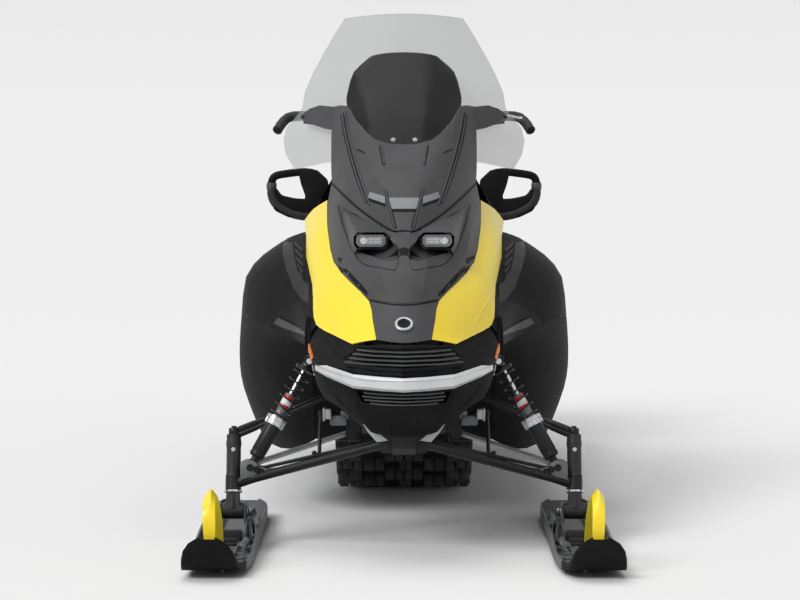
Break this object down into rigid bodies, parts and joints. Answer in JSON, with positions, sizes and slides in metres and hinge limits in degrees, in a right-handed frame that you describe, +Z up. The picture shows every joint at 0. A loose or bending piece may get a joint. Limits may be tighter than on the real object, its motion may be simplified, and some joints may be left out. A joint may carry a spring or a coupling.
{
  "type": "snowmobile",
  "caption": "Two-seat utility snowmobile with two steered skis on double-link suspension, a tall windshield, a rear cargo rack and one wide driven track.",
  "frame": {"origin": "on the ground, under the middle of the machine's length and width", "axes": "+Z up, the machine faces -Y, +X towards the rider's left"},
  "size_m": [1.093, 3.28, 1.425],
  "materials": {
    "chassis_black": "satin",
    "bare_metal": "satin",
    "steel": "satin",
    "silver_paint": "satin",
    "black_plastic": "matt",
    "graphite_plastic": "matt",
    "yellow_plastic": "glossy",
    "amber_plastic": "glossy",
    "red_plastic": "glossy",
    "lamp_glass": "glossy",
    "clear_screen": "glossy",
    "dark_screen": "glossy",
    "vinyl": "satin",
    "black_rubber": "matt",
    "grip_rubber": "matt"
  },
  "bodies": {
    "chassis": {"bulkhead": "chassis_black", "engine": "bare_metal", "tunnel": "bare_metal", "upper_frame": "chassis_black", "belly_pan": "black_plastic", "front_grille": "black_plastic", "front_bumper": "silver_paint", "nose_panel": "graphite_plastic", "headlight_fascia": "graphite_plastic", "headlight_bezels": "black_plastic", "headlights": "lamp_glass", "hood": "graphite_plastic", "hood_wings": "graphite_plastic", "side_hoods": "yellow_plastic", "side_panels": "black_plastic", "foot_pods": "black_plastic", "side_markers": "amber_plastic", "windshield": "clear_screen", "tinted_screen": "dark_screen", "console": "black_plastic", "gauge": "black_plastic", "fuel_tank": "black_plastic", "fuel_cap": "black_plastic", "driver_saddle": "vinyl", "passenger_saddle": "vinyl", "backrest": "vinyl", "passenger_handles": "black_plastic", "running_boards": "bare_metal", "cargo_rack": "chassis_black", "rear_bumper": "chassis_black", "tow_hitch": "chassis_black", "tail_light": "red_plastic", "snow_flap": "black_rubber", "track": "black_rubber", "drive_axle": "steel", "slide_rails": "bare_metal", "idler_wheels": "black_plastic", "skid_arms": "chassis_black", "lower_arms": "chassis_black", "upper_links": "chassis_black", "front_shocks": "chassis_black", "front_springs": "chassis_black"},
    "steering": {"handlebar": "grip_rubber", "steering_post": "chassis_black"},
    "leg_left": {"ski_leg_left": "chassis_black"},
    "leg_right": {"ski_leg_right": "chassis_black"},
    "tie_left": {"tie_rod_left": "chassis_black"},
    "tie_right": {"tie_rod_right": "chassis_black"},
    "ski_body_left": {"ski_left": "graphite_plastic", "ski_loop_left": "yellow_plastic"},
    "ski_body_right": {"ski_right": "graphite_plastic", "ski_loop_right": "yellow_plastic"}
  },
  "joints": [
    {"name": "handlebar_turn", "type": "hinge", "parent": "chassis", "child": "steering", "pos_m": [0, -0.02, 1.092], "axis": [0, 0.6088, 0.7934], "range_deg": [-35, 35]},
    {"name": "leg_steer_left", "type": "hinge", "parent": "chassis", "child": "leg_left", "pos_m": [0.45, -1.085, 0.095], "axis": [0, 0.2588, 0.9659], "range_deg": [-30, 30]},
    {"name": "leg_steer_right", "type": "hinge", "parent": "chassis", "child": "leg_right", "pos_m": [-0.45, -1.085, 0.095], "axis": [0, 0.2588, 0.9659], "range_deg": [-30, 30]},
    {"name": "tie_swing_left", "type": "hinge", "parent": "leg_left", "child": "tie_left", "pos_m": [0.45, -0.9437, 0.2746], "axis": [0, 0.2588, 0.9659], "range_deg": [-30, 30]},
    {"name": "tie_swing_right", "type": "hinge", "parent": "leg_right", "child": "tie_right", "pos_m": [-0.45, -0.9437, 0.2746], "axis": [0, 0.2588, 0.9659], "range_deg": [-30, 30]},
    {"name": "ski_pitch_left", "type": "hinge", "parent": "leg_left", "child": "ski_body_left", "pos_m": [0.45, -1.085, 0.095], "axis": [1, 0, 0], "range_deg": [-18, 12]},
    {"name": "ski_pitch_right", "type": "hinge", "parent": "leg_right", "child": "ski_body_right", "pos_m": [-0.45, -1.085, 0.095], "axis": [1, 0, 0], "range_deg": [-18, 12]}
  ],
  "couplings": [
    {"joint": "leg_steer_left", "follows": "handlebar_turn", "ratio": 0.857},
    {"joint": "leg_steer_right", "follows": "handlebar_turn", "ratio": 0.857},
    {"joint": "tie_swing_left", "follows": "handlebar_turn", "ratio": -0.857},
    {"joint": "tie_swing_right", "follows": "handlebar_turn", "ratio": -0.857}
  ]
}
